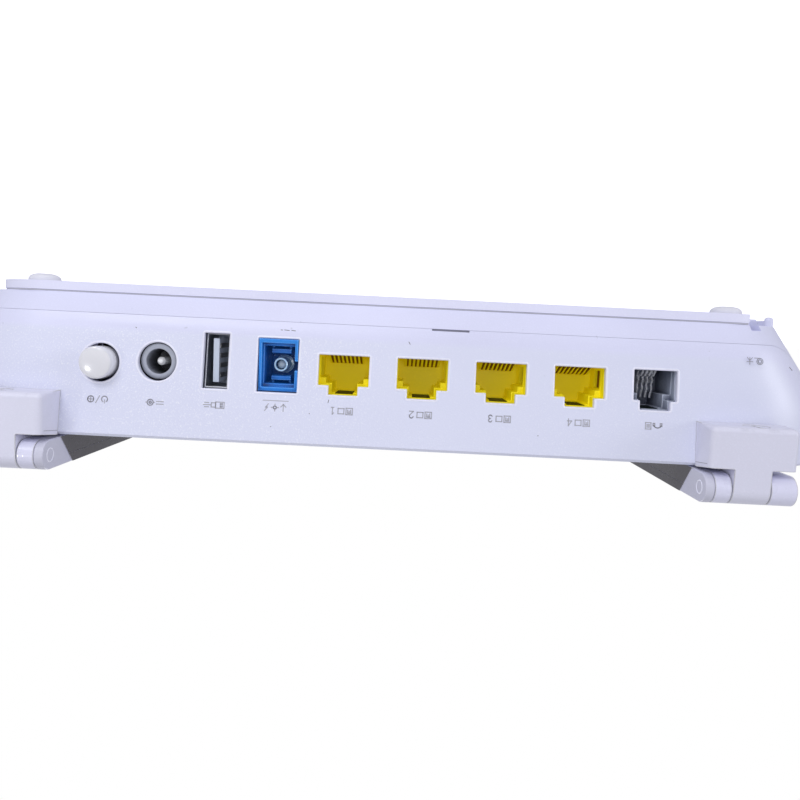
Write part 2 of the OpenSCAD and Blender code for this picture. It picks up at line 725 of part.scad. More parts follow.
cap_t = 2.2;               // thickness of the cap on the fork's inner ear
cap_l = [4.2, 12.2];       // how far the cap reaches past the axis, at its lower and upper edges
fork_l = 5;                // how far the fork's gap reaches past the axis
seam_l = 9;                // where the antenna's lid starts
seam_up = 1.2;             // height of the antenna's seam above the axis
skin_t = 1.3;              // wall of the antenna's casing

module fork_gap() {
    translate([-tongue_w / 2 - 0.25, -barrel_r - 1, -barrel_r - 1])
        cube([tongue_w + 0.5, fork_l + barrel_r + 1, 2 * barrel_r + 2]);
}

// The plan of the antenna with a rounded tip, as a cutter's complement.
module tip_plan(shrink) {
    r = 7 - shrink;
    half = antenna_w / 2 - shrink;
    translate([-half, -barrel_r - 1]) square([2 * half, antenna_l - shrink - r + barrel_r + 1]);
    translate([-half + r, antenna_l - shrink - r - 1]) square([2 * half - 2 * r, r + 1]);
    for (s = [-1, 1])
        translate([s * (half - r), antenna_l - shrink - r]) circle(r = r);
}

module antenna_solid(side) {
    intersection() {
        bar(side, antenna_l, -antenna_w / 2, antenna_w / 2);
        at_hinge(side) translate([0, 0, -10]) linear_extrude(20) tip_plan(0);
    }
}

module antenna_space(side) {
    intersection() {
        at_hinge(side) translate([0, 0, -10]) linear_extrude(20) tip_plan(skin_t);
        at_hinge(side) translate([-20, seam_l + skin_t, -barrel_r + skin_t])
            cube([40, antenna_l, 2 * barrel_r - 2 * skin_t]);
    }
}

module above_seam(side, gap) {
    at_hinge(side) translate([-20, seam_l + gap, seam_up + gap]) cube([40, antenna_l, 10]);
}

// The side cap's outline, which ends in a slant.
module side_cap_cut(side, gap) {
    h = barrel_r + 1;
    at_hinge(side) mirror([side > 0 ? 1 : 0, 0, 0])
        translate([antenna_w / 2 - cap_t - gap, 0, 0]) rotate([90, 0, 90]) linear_extrude(cap_t + gap + 1)
            polygon([[-h, -h], [cap_l[0] + gap, -h], [cap_l[1] + gap, h], [-h, h]]);
}

module antenna_shell(side) color(WHITE)
    difference() {
        antenna_solid(side);
        antenna_space(side);
        above_seam(side, 0);
        side_cap_cut(side, 0.04);
        at_hinge(side) fork_gap();
        at_hinge(side) hinge_cylinder(pin_r + 0.02, antenna_w + 2);
    }

module antenna_cover(side) color(WHITE)
    difference() {
        intersection() {
            antenna_solid(side);
            above_seam(side, 0.05);
        }
        antenna_space(side);
        side_cap_cut(side, 0.04);
    }

module antenna_side_cap(side) color(WHITE)
    difference() {
        intersection() {
            antenna_solid(side);
            side_cap_cut(side, 0);
        }
        at_hinge(side) hinge_cylinder(pin_r + 0.02, antenna_w + 2);
    }

module antenna_element(side) color(BOARD)
    at_hinge(side) translate([-7, 34, -barrel_r + skin_t + 0.02]) cube([14, antenna_l - 46, 0.8]);

module antenna_lead(side) color(BLACK)
    at_hinge(side) translate([0, 12, -barrel_r + skin_t + 0.72]) rotate([-90, 0, 0])
        cylinder(r = 0.7, h = 21.9);

// ---------- what is drawn ----------

top_cover();
bottom_tray();
main_board();
for (i = [1:4]) {
    lan_jack(i);
    lan_contacts(i);
    rubber_foot(i);
}
phone_jack();
phone_contacts();
usb_shell();
usb_tongue();
usb_contacts();
dc_jack_body();
dc_jack_pin();
dc_jack_spring();
switch_body();
switch_plunger();
power_button();
fibre_adapter();
fibre_latch_arms();
fibre_sleeve();
optical_module();
processor_heatsink();
wifi_shield_can();
board_chips();
board_capacitors();
light_pipes();
indicator_leds();
housing_screws();
board_screws();
antenna_pigtails();
fibre_cover();
for (s = [["left", -1], ["right", 1]]) {
    hinge_bracket(s[1]);
    hinge_pin(s[1]);
    bracket_screw(s[1]);
    antenna_shell(s[1]);
    antenna_cover(s[1]);
    antenna_side_cap(s[1]);
    antenna_element(s[1]);
    antenna_lead(s[1]);
}
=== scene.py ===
"""Looks of the optical network terminal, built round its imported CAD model.
Places on the object are in millimetres and turned into metres by MM; everything else is in metres."""

import json
import math

import bpy
from mathutils import Matrix, Vector


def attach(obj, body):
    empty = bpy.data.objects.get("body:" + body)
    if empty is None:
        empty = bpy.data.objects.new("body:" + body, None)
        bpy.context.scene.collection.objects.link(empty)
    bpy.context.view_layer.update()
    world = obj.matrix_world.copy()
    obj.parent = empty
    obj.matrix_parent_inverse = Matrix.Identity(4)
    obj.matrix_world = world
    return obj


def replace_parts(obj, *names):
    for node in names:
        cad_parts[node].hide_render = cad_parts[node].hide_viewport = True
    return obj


MM = 0.001

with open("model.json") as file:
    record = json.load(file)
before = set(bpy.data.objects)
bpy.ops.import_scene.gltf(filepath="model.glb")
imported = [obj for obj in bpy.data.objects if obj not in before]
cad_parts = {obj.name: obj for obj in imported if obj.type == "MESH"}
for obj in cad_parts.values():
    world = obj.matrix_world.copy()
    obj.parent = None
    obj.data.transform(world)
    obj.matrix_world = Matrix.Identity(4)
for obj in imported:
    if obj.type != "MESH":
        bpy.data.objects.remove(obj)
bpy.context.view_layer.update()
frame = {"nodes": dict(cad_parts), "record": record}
nodes = frame["nodes"]


# ---------- camera ----------

def add_camera():
    """A camera close in front of the port panel, rolled over, because the object is seen upside down."""
    place = Vector((-5.64, -237.2, 10.2)) * MM
    yaw, pitch, roll = (math.radians(a) for a in (0.17, 5.51, 182.79))
    ahead = Vector((math.sin(yaw) * math.cos(pitch), math.cos(yaw) * math.cos(pitch), math.sin(pitch)))
    right = ahead.cross(Vector((0, 0, 1))).normalized()
    up = right.cross(ahead)
    turned_right = right * math.cos(roll) + up * math.sin(roll)
    turned_up = up * math.cos(roll) - right * math.sin(roll)
    data = bpy.data.cameras.new("camera")
    data.sensor_width = 36
    data.lens = 31.89
    data.clip_start = 0.005
    camera = bpy.data.objects.new("camera", data)
    camera.matrix_world = Matrix((turned_right, turned_up, -ahead)).transposed().to_4x4()
    camera.location = place
    bpy.context.scene.collection.objects.link(camera)
    bpy.context.scene.camera = camera


add_camera()


# ---------- materials ----------

class Nodes:
    """A short way to build one material's node tree."""

    def __init__(self, name):
        self.material = bpy.data.materials.new(name)
        self.material.use_nodes = True
        self.tree = self.material.node_tree
        self.shader = self.tree.nodes["Principled BSDF"]
        self.coords = self.add("ShaderNodeTexCoord").outputs["Object"]

    def add(self, kind, **settings):
        node = self.tree.nodes.new(kind)
        for key, value in settings.items():
            setattr(node, key, value)
        return node

    def link(self, output, target):
        self.tree.links.new(output, target)

    def noise(self, scale, detail=2.0, rough=0.5, stretch=(1, 1, 1)):
        """A noise field whose scale is in features per metre."""
        mapping = self.add("ShaderNodeMapping")
        mapping.inputs["Scale"].default_value = stretch
        self.link(self.coords, mapping.inputs["Vector"])
        node = self.add("ShaderNodeTexNoise")
        node.inputs["Scale"].default_value = scale
        node.inputs["Detail"].default_value = detail
        node.inputs["Roughness"].default_value = rough
        self.link(mapping.outputs["Vector"], node.inputs["Vector"])
        return node.outputs["Fac"]

    def remap(self, value, low, high, to_low=0.0, to_high=1.0):
        """The value carried from one range to another and held inside it."""
        node = self.add("ShaderNodeMapRange")
        for key, number in (("From Min", low), ("From Max", high), ("To Min", to_low), ("To Max", to_high)):
            node.inputs[key].default_value = number
        self.link(value, node.inputs["Value"])
        return node.outputs["Result"]

    def mix(self, factor, a, b):
        node = self.add("ShaderNodeMix", data_type="RGBA")
        if isinstance(factor, (int, float)):
            node.inputs["Factor"].default_value = factor
        else:
            self.link(factor, node.inputs["Factor"])
        for socket, colour in ((node.inputs[6], a), (node.inputs[7], b)):
            if isinstance(colour, tuple):
                socket.default_value = (*colour, 1)
            else:
                self.link(colour, socket)
        return node.outputs[2]

    def times(self, a, b):
        node = self.add("ShaderNodeMath", operation="MULTIPLY")
        for socket, value in ((node.inputs[0], a), (node.inputs[1], b)):
            if isinstance(value, (int, float)):
                socket.default_value = value
            else:
                self.link(value, socket)
        return node.outputs[0]

    def occlusion(self, distance, inside=False):
        """How open a spot is; with inside, how thick the body is behind it."""
        node = self.add("ShaderNodeAmbientOcclusion", samples=8, inside=inside)
        node.inputs["Distance"].default_value = distance
        return node.outputs["AO"]

    def part_of(self, vector, axis):
        """One of a vector's three numbers."""
        node = self.add("ShaderNodeSeparateXYZ")
        self.link(vector, node.inputs["Vector"])
        return node.outputs[axis]

    def bump(self, height, distance):
        node = self.add("ShaderNodeBump")
        node.inputs["Distance"].default_value = distance
        node.inputs["Strength"].default_value = 1.0
        self.link(height, node.inputs["Height"])
        return node.outputs["Normal"]

    def set(self, **values):
        """Gives the shader's sockets numbers, colours or links; spaces in their names are written _."""
        for key, value in values.items():
            socket = self.shader.inputs[key.replace("_", " ")]
            if isinstance(value, tuple):
                value = (*value, 1)
            if hasattr(value, "is_linked") or hasattr(value, "links"):
                self.link(value, socket)
            else:
                socket.default_value = value


THIN_EDGE = 0.0004


def tint(colour, amount):
    return tuple(min(1.0, c * amount) for c in colour)


def panel_tone_and_painted_sparkle(m, base, fine):
    """The port panel's face is greyer than the rest of the shell, and carries painted sparkle: fine bright
    grains painted in as highlights, in patches, stronger towards +X.
    """
    at_panel = m.remap(m.part_of(m.coords, "Y"), -0.0625, -0.0650)
    above_foot = m.remap(m.part_of(m.coords, "Z"), 0.0122, 0.0136)
    on_face = m.times(at_panel, above_foot)
    face = m.mix(m.times(on_face, 0.7), base, (0.69, 0.715, 0.86))
    middle = m.remap(m.part_of(m.coords, "X"), -0.03, 0.02, 0.4, 1.0)
    # Painted highlight: bright grains that stand in for light glinting off the face's grain.
    painted_sparkle = m.times(m.times(on_face, middle), m.remap(m.noise(22, 2), 0.4, 0.62, 0.15, 0.55))
    return m.mix(m.times(painted_sparkle, m.remap(fine, 0.55, 0.72)), face, (0.95, 0.96, 1.0))


def inner_sides_painted_shade(m, base, fine):
    """The antennas' long faces towards the middle carry painted shade behind their side caps: the body's
    shadow on them, painted as a dark grey.
    """
    geometry = m.add("ShaderNodeNewGeometry").outputs
    facing = m.times(m.part_of(geometry["Normal"], "X"), m.part_of(geometry["Position"], "X"))
    inward = m.remap(facing, -0.01, -0.03)
    behind = m.remap(m.part_of(m.coords, "Y"), -0.071, -0.070)
    # Painted shadow: a noisy dark grey stands in for the body's shadow on these faces.
    painted_shade_tone = m.mix(m.noise(900, 3, 0.6), (0.048, 0.044, 0.053), (0.085, 0.077, 0.09))
    return m.mix(m.times(inward, behind), base, painted_shade_tone)


def plastic(name, colour, rough=0.45, grain=2600, grain_depth=0.00002, spread=0.04, specks=0.0, wear=0.0,
            deep=None, rim=None, reach=0.006, skin=None, **shader):
    """Moulded plastic: a fine spark-eroded texture, uneven colour, dark specks and rubbed edges.
    Its cavities can darken towards a colour as painted shade, its thin edges take a colour as painted
    highlight (worn plastic greys them as wear instead), and a last layer can paint tone, light and shade
    over it all."""
    m = Nodes(name)
    cloud = m.remap(m.noise(28, 3), 0.3, 0.7)
    base = m.mix(cloud, tint(colour, 1 - spread), tint(colour, 1 + spread * 0.6))
    fine = m.noise(grain, 2, 0.6)
    base = m.mix(m.times(m.remap(fine, 0.52, 0.72), 0.3), base, tint(colour, 1.12))
    if specks:
        dots = m.remap(m.noise(900, 1, 0.3), 0.79, 0.83)
        base = m.mix(m.times(dots, specks), base, tint(colour, 0.35))
    if wear:
        # Worn plastic is rubbed darker on its ridges, and greyed by them where it is thin.
        ridges = m.add("ShaderNodeNewGeometry").outputs["Pointiness"]
        rub = m.times(m.remap(ridges, 0.53, 0.62), m.remap(m.noise(160, 4, 0.7), 0.5, 0.66))
        base = m.mix(m.times(rub, wear), base, tint(colour, 0.55))
        rim = ridges
    # Painted shade: the more enclosed a spot is, the more it turns to the shade colour.
    if deep:
        base = m.mix(m.remap(m.occlusion(reach), 0.72, 0.3), base, deep)
    # Thin edges turn to a painted highlight colour; on worn plastic they turn to the wear's grey instead.
    if rim:
        base = m.mix(m.remap(m.occlusion(THIN_EDGE, True), 0.85, 0.6), base, rim)
    if skin:
        base = skin(m, base, fine)
    m.set(Base_Color=base, Roughness=m.remap(m.noise(60, 4), 0.3, 0.7, rough - 0.06, rough + 0.06))
    m.set(**shader)
    m.set(Normal=m.bump(fine, grain_depth))
    return m.material


def metal(name, colour, rough=0.28, stretch=(1, 1, 8), scale=1500, depth=0.000006, metallic=1.0):
    """Rolled or plated metal: fine lines along one direction and a little tarnish."""
    m = Nodes(name)
    lines = m.noise(scale, 3, 0.6, stretch)
    tarnish = m.remap(m.noise(240, 4, 0.6), 0.4, 0.75)
    base = m.mix(m.times(tarnish, 0.35), colour, tint(colour, 0.62))
    m.set(Base_Color=base, Metallic=metallic, Roughness=m.remap(lines, 0.3, 0.7, rough - 0.07, rough + 0.12))
    m.set(Normal=m.bump(lines, depth))
    return m.material


def solder_mask(name):
    """Green circuit board with a pattern of tracks and pads under the mask."""
    m = Nodes(name)
    brick = m.add("ShaderNodeTexBrick")
    brick.inputs["Scale"].default_value = 260
    brick.inputs["Mortar Size"].default_value = 0.035
    m.link(m.coords, brick.inputs["Vector"])
    tracks = m.mix(m.remap(m.noise(90, 0), 0.45, 0.5), (0.008, 0.075, 0.028), (0.02, 0.14, 0.055))
    base = m.mix(brick.outputs["Fac"], tracks, (0.03, 0.19, 0.08))
    m.set(Base_Color=base, Roughness=0.32, Coat_Weight=0.3)
    m.set(Normal=m.bump(brick.outputs["Fac"], 0.00003))
    return m.material


def clear_plastic(name):
    """The milky light pipes."""
    m = Nodes(name)
    m.set(Base_Color=m.mix(m.noise(300, 2), (0.88, 0.92, 0.95), (0.95, 0.97, 1.0)), Transmission_Weight=0.85)
    m.set(Roughness=m.remap(m.noise(500, 2), 0.3, 0.7, 0.12, 0.3), IOR=1.58)
    return m.material


def plastics():
    """Every plastic: its colour, roughness, grains per metre, their depth, its spread of colour and more."""
    rows = {
        "white_shell": ((0.70, 0.71, 0.90), 0.42, 2600, 2e-5, 0.04, dict(specks=0.25, skin=panel_tone_and_painted_sparkle)),
        # The fibre cover's white is the shell's white painted lighter, as painted light on its face.
        "cover_lit_white": ((0.76, 0.765, 0.935), 0.42, 2600, 2e-5, 0.04, dict(specks=0.25)),
        "bracket_shell": ((0.70, 0.70, 0.83), 0.40, 2600, 2e-5, 0.04, dict(wear=0.25, specks=0.3)),
        "antenna_white": ((0.72, 0.72, 0.89), 0.27, 2600, 8e-6, 0.04,
                          dict(wear=0.3, Coat_Weight=0.15, skin=inner_sides_painted_shade)),
        # The side caps' white is the antennas' white painted darker, as painted shade on their sideways
        # faces.
        "cap_shaded_white": ((0.58, 0.58, 0.70), 0.36, 2600, 2e-5, 0.04, {}),
        # The beads' white is the shell's white painted lighter, as painted highlight.
        "rim_highlit_white": ((0.80, 0.805, 0.93), 0.3, 1800, 6e-6, 0.04, {}),
        "white_gloss": ((0.74, 0.74, 0.78), 0.12, 600, 4e-6, 0.02, dict(Coat_Weight=0.4)),
        # The sleeve's light edge colour is a painted highlight.
        "ceramic_white": ((0.26, 0.44, 0.66), 0.12, 400, 2e-6, 0.04,
                          dict(rim=(0.55, 0.78, 0.95), Coat_Weight=0.5)),
        "ferrule_white": ((0.42, 0.50, 0.58), 0.08, 400, 2e-6, 0.04, dict(Coat_Weight=0.8)),
        # The yellow's faint emission is painted light: a glow that lightens the sockets' shaded insides.
        "yellow_plastic": ((0.88, 0.76, 0.008), 0.42, 1800, 8e-6, 0.10,
                           dict(Specular_IOR_Level=0.25, Emission_Color=(0.8, 0.64, 0.0),
                                Emission_Strength=0.10)),
        # The blue's cavities darken to navy as painted shade, its edges lighten as painted highlight, and
        # its faint emission is a painted glow.
        "blue_plastic": ((0.02, 0.22, 0.68), 0.26, 1800, 6e-6, 0.12,
                         dict(deep=(0.005, 0.035, 0.17), rim=(0.16, 0.46, 0.95), reach=0.0036,
                              Specular_IOR_Level=0.4, Emission_Color=(0.01, 0.12, 0.5),
                              Emission_Strength=0.07)),
        # The grey's cavities darken to navy as painted shade, and its thin edges lighten as painted
        # highlight.
        "grey_plastic": ((0.40, 0.44, 0.54), 0.35, 1800, 1.2e-5, 0.08,
                         dict(deep=(0.05, 0.06, 0.11), rim=(0.62, 0.66, 0.76), reach=0.0055)),
        # The dark grey's cavities turn near black as painted shade.
        "dark_grey_plastic": ((0.40, 0.425, 0.50), 0.36, 1800, 1.2e-5, 0.1,
                              dict(deep=(0.012, 0.013, 0.02), reach=0.0045)),
        "tongue_grey": ((0.60, 0.66, 0.78), 0.35, 1800, 1e-5, 0.08, {}),
        "black_plastic": ((0.012, 0.012, 0.014), 0.45, 1500, 1e-5, 0.2, {}),
        "cable_black": ((0.015, 0.015, 0.016), 0.5, 2000, 1e-5, 0.2, {}),
        # A dark brown that stands for shade in the sockets' side slots.
        "slot_painted_shade": ((0.16, 0.06, 0.008), 0.5, 1500, 1e-5, 0.3, {}),
        # A near black that stands for shade at the latch notches' ends.
        "dark_green": ((0.002, 0.007, 0.003), 0.5, 1500, 1e-5, 0.3, dict(Specular_IOR_Level=0.1)),
        "led_plastic": ((0.35, 0.62, 0.25), 0.2, 800, 4e-6, 0.05, {}),
        "foot_rubber": ((0.72, 0.72, 0.80), 0.62, 1400, 4e-5, 0.04, {}),
        "print_grey": ((0.42, 0.42, 0.48), 0.5, 3000, 4e-6, 0.15, {}),
        "scuff_grey": ((0.12, 0.115, 0.12), 0.6, 3000, 4e-6, 0.3, {}),
        "seam_grey": ((0.36, 0.36, 0.42), 0.6, 3000, 1e-5, 0.1, {}),
        "lip_grey": ((0.50, 0.50, 0.58), 0.6, 3000, 1e-5, 0.1, {}),
    }
    return {name: plastic(name, colour, rough, grain, depth, spread, **more)
            for name, (colour, rough, grain, depth, spread, more) in rows.items()}


def metals():
    """Every metal: its colour, roughness, how its fine lines are stretched, and more."""
    even, lengthwise, crosswise = (1, 1, 1), (1, 1, 8), (1, 8, 1)
    rows = {
        "plated_steel": ((0.50, 0.51, 0.55), 0.34, lengthwise, {}),
        # The spring and pin metals are real silver metal, but pale and partly diffuse: partly painted
        # highlight standing for their bright reflections.
        "contact_metal": ((0.86, 0.86, 0.88), 0.22, crosswise, dict(metallic=0.4)),
        "pin_metal": ((0.94, 0.95, 0.96), 0.2, even, dict(metallic=0.15)),
        "gold_contacts": ((0.62, 0.33, 0.09), 0.30, crosswise, {}),
        "dim_contacts": ((0.24, 0.24, 0.25), 0.30, crosswise, {}),
        # A dark brown on the network sockets' contact wires, painted as the shadow between the comb's ribs.
        "comb_painted_shadow": ((0.20, 0.075, 0.012), 0.5, crosswise, {}),
        "screw_steel": ((0.50, 0.51, 0.54), 0.32, even, {}),
        "heatsink_aluminium": ((0.50, 0.51, 0.53), 0.38, (1, 12, 1), dict(scale=800)),
    }
    return {name: metal(name, colour, rough, stretch, **more)
            for name, (colour, rough, stretch, more) in rows.items()}


MATERIALS = {**plastics(), **metals(), "circuit_board": solder_mask("circuit_board"),
             "clear_plastic": clear_plastic("clear_plastic")}


def refine(obj, width):
    """Joins the CAD facets into one skin and rounds its edges."""
    weld = obj.modifiers.new("weld", "WELD")
    weld.merge_threshold = 0.000002
    bevel = obj.modifiers.new("bevel", "BEVEL")
    bevel.width = width
    bevel.segments = 2
    bevel.limit_method = "ANGLE"
    bevel.angle_limit = math.radians(32)
    bevel.harden_normals = True
    bevel.use_clamp_overlap = True
    normals = obj.modifiers.new("normals", "WEIGHTED_NORMAL")
    normals.keep_sharp = True


# The radius that the edges of each material in the record are rounded by.
EDGE_ROUNDING = {
    "white_shell": 0.00022, "bracket_shell": 0.00022, "antenna_white": 0.0003, "yellow_plastic": 0.00012,
    "grey_plastic": 0.00012, "dark_grey_plastic": 0.00015, "black_plastic": 0.00015, "blue_plastic": 0.00018,
    "white_gloss": 0.0002, "plated_steel": 0.00008, "gold_contacts": 0.00005, "contact_metal": 0.00005,
    "screw_steel": 0.0001, "heatsink_aluminium": 0.0001, "foot_rubber": 0.0002, "circuit_board": 0.0001,
    "ceramic_white": 0.0001, "clear_plastic": 0.0001, "led_plastic": 0.0001, "cable_black": 0.00005,
}


# Nodes whose look differs from that of their material in the record.
NODE_LOOKS = {"antenna_side_cap_left": "cap_shaded_white", "antenna_side_cap_right": "cap_shaded_white",
              "usb_tongue": "tongue_grey", "usb_contacts": "dim_contacts", "dc_jack_pin": "pin_metal",
              "dc_jack_spring": "pin_metal", "fibre_cover": "cover_lit_white",
              **{f"lan_contacts_{i}": "comb_painted_shadow" for i in range(1, 5)}}


def dress_cad_nodes():
    for part in frame["record"]["subparts"]:
        obj = nodes[part["node"]]
        material = part["material_slot"]
        obj.data.materials.clear()
        obj.data.materials.append(MATERIALS[NODE_LOOKS.get(part["node"], material)])
        refine(obj, EDGE_ROUNDING[material])
        for polygon in obj.data.polygons:
            polygon.use_smooth = True


dress_cad_nodes()


# ---------- shapes on the port panel ----------

PANEL_Y = -71.0                          # the panel's face at its upper edge
PANEL_LEAN, PANEL_H = 3.8, 26.5          # how far its lower edge stands back, and its height
FOOT_Z = 11.2                            # height of the panel's lower edge
PANEL_FOOT_Y = PANEL_Y + PANEL_LEAN
LEAN_SLOPE = -PANEL_LEAN / PANEL_H
OUTWARD = Vector((0, -1, LEAN_SLOPE)).normalized()

LAN_X = [8.6 - 18.8 * i for i in range(4)]
PHONE_X = -65.8
SC_X, SC_Z = 24.4, 19.65
USB_X, USB_Z = 39.2, 19.25
DC_X, DC_Z = 53.2, 20.1
BUTTON_X, BUTTON_Z = 66.8, 20.9
MARK_Z = 29.7                            # height of the row of printed marks

SIDES = (("left", -1), ("right", 1))
HINGE_Y, HINGE_Z = -75.5, 42.5
BARREL_R = 3.5
CAP_X = (75.25, 77.45)                   # the inner ear's side cap, from its face to its back


def on_panel(x, z, lift):
    """A point on the leaning panel's face, raised off it."""
    return (Vector((x, PANEL_FOOT_Y + (z - FOOT_Z) * LEAN_SLOPE, z)) + OUTWARD * lift) * MM


def add_mesh(name, points, faces, material, body, bevel=0.0, smooth=True):
    """A piece that rides on a body."""
    mesh = bpy.data.meshes.new(name)
    mesh.from_pydata([tuple(p) for p in points], [], faces)
    mesh.materials.append(MATERIALS[material])
    mesh.update()
    obj = bpy.data.objects.new(name, mesh)
    bpy.context.scene.collection.objects.link(obj)
    if bevel:
        refine(obj, bevel)
    if smooth:
        mesh.shade_smooth()
        mesh.set_sharp_from_angle(angle=math.radians(40))
    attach(obj, body)
    return obj


def loops_to_faces(loops, count, first=0, flip=False):
    """Quads that join each loop of points to the next one."""
    faces = []
    for k in range(loops - 1):
        a, b = first + k * count, first + (k + 1) * count
        for i in range(count):
            j = (i + 1) % count
            faces.append((a + i, b + i, b + j, a + j) if flip else (a + i, a + j, b + j, b + i))
    return faces


def fan(count):
    """Triangles from point 0 to the loop of points that follows it."""
    return [(0, 1 + i, 1 + (i + 1) % count) for i in range(count)]


def circle(x, z, radius, count=48):
    steps = [2 * math.pi * i / count for i in range(count)]
    return [(x + radius * math.cos(a), z + radius * math.sin(a)) for a in steps]


def arc(x, z, radius, start, end, count=14):
    steps = [math.radians(start + (end - start) * i / count) for i in range(count + 1)]
    return [(x + radius * math.cos(a), z + radius * math.sin(a)) for a in steps]


def rounded(corners, radius, steps=4):
    """The outline with each corner rounded by a small arc."""
    out = []
    for i, corner in enumerate(corners):
        here = Vector(corner)
        start = here + (Vector(corners[i - 1]) - here).normalized() * radius
        end = here + (Vector(corners[(i + 1) % len(corners)]) - here).normalized() * radius
        for k in range(steps + 1):
            t = k / steps
            out.append(tuple(start * (1 - t) ** 2 + here * 2 * t * (1 - t) + end * t * t))
    return out


def jack_outline(x, z, half_w, height, notch_half_w, notch_h):
    """A socket's mouth with the notch for the plug's latch above it."""
    return [(x - half_w, z), (x + half_w, z), (x + half_w, z + height), (x + notch_half_w, z + height),
            (x + notch_half_w, z + height + notch_h), (x - notch_half_w, z + height + notch_h),
            (x - notch_half_w, z + height), (x - half_w, z + height)]


def box_outline(x, z, half_w, half_h):
    return [(x - half_w, z - half_h), (x + half_w, z - half_h),
            (x + half_w, z + half_h), (x - half_w, z + half_h)]


def add_rim(name, outline):
    """The soft moulded lip round an opening: a low bead that turns down into the hole, painted lighter as a
    highlight.
    """
    profile = [(0.50, -0.02), (0.40, 0.035), (0.26, 0.075), (0.12, 0.06), (0.0, -0.03), (-0.05, -0.16),
               (-0.05, -0.7)]
    count = len(outline)
    points = []
    for offset, lift in profile:
        for i, corner in enumerate(outline):
            here = Vector(corner)
            along = (Vector(outline[(i + 1) % count]) - Vector(outline[i - 1])).normalized()
            side = Vector((along.y, -along.x))
            points.append(on_panel(*(here + side * offset), lift))
    add_mesh(name, points, loops_to_faces(len(profile), count), "rim_highlit_white", "housing")


def add_rims():
    corner_r, round_r = 0.3, 4.65
    for i, x in enumerate(LAN_X):
        mouth = jack_outline(x, 16.45, half_w=6.1, height=7.4, notch_half_w=3.55, notch_h=2.2)
        add_rim(f"lan_rim_{i + 1}", rounded(mouth, corner_r))
    mouth = jack_outline(PHONE_X, 16.35, half_w=5.2, height=7.4, notch_half_w=3.65, notch_h=2.2)
    add_rim("phone_rim", rounded(mouth, corner_r))
    add_rim("optical_rim", rounded(box_outline(SC_X, SC_Z, 4.9, 6.45), corner_r))
    add_rim("usb_rim", rounded(box_outline(USB_X, USB_Z, 3.1, 6.65), 0.4))
    add_rim("power_inlet_rim", circle(DC_X, DC_Z, round_r))
    add_rim("button_rim", circle(BUTTON_X, BUTTON_Z, round_r))


# ---------- printed marks ----------

def ring(x, z, radius):
    return arc(x, z, radius, 0, 360, 20)


def frame_line(x, z, half_w, half_h):
    corners = box_outline(x, z, half_w, half_h)
    return corners + corners[:1]


PRINT_LIFT = 0.012


def add_mark(name, x, z, lines, stroke=0.25, material="print_grey"):
    """Printed strokes round a centre, as wide ribbons just above the panel's face."""
    points, faces = [], []
    for line in lines:
        for (x0, z0), (x1, z1) in zip(line, line[1:]):
            along = Vector((x1 - x0, z1 - z0)).normalized()
            side = Vector((-along.y, along.x)) * stroke / 2
            ahead = along * stroke / 2
            start, end = Vector((x0, z0)) - ahead, Vector((x1, z1)) + ahead
            first = len(points)
            for corner in (start - side, end - side, end + side, start + side):
                points.append(on_panel(x + corner.x, z + corner.y, PRINT_LIFT))
            faces.append((first, first + 1, first + 2, first + 3))
    add_mesh(name, points, faces, material, "housing", smooth=False)


NUMERALS = {
    1: [[(-0.3, 0.5), (0, 0.8), (0, -0.8)], [(-0.3, -0.8), (0.3, -0.8)]],
    2: [arc(0, 0.35, 0.45, 170, -30, 8) + [(-0.45, -0.8), (0.45, -0.8)]],
    3: [arc(0, 0.4, 0.4, 160, -90, 8), arc(0, -0.4, 0.42, 90, -160, 8)],
    4: [[(0.25, -0.8), (0.25, 0.8), (-0.5, -0.35), (0.5, -0.35)]],
}


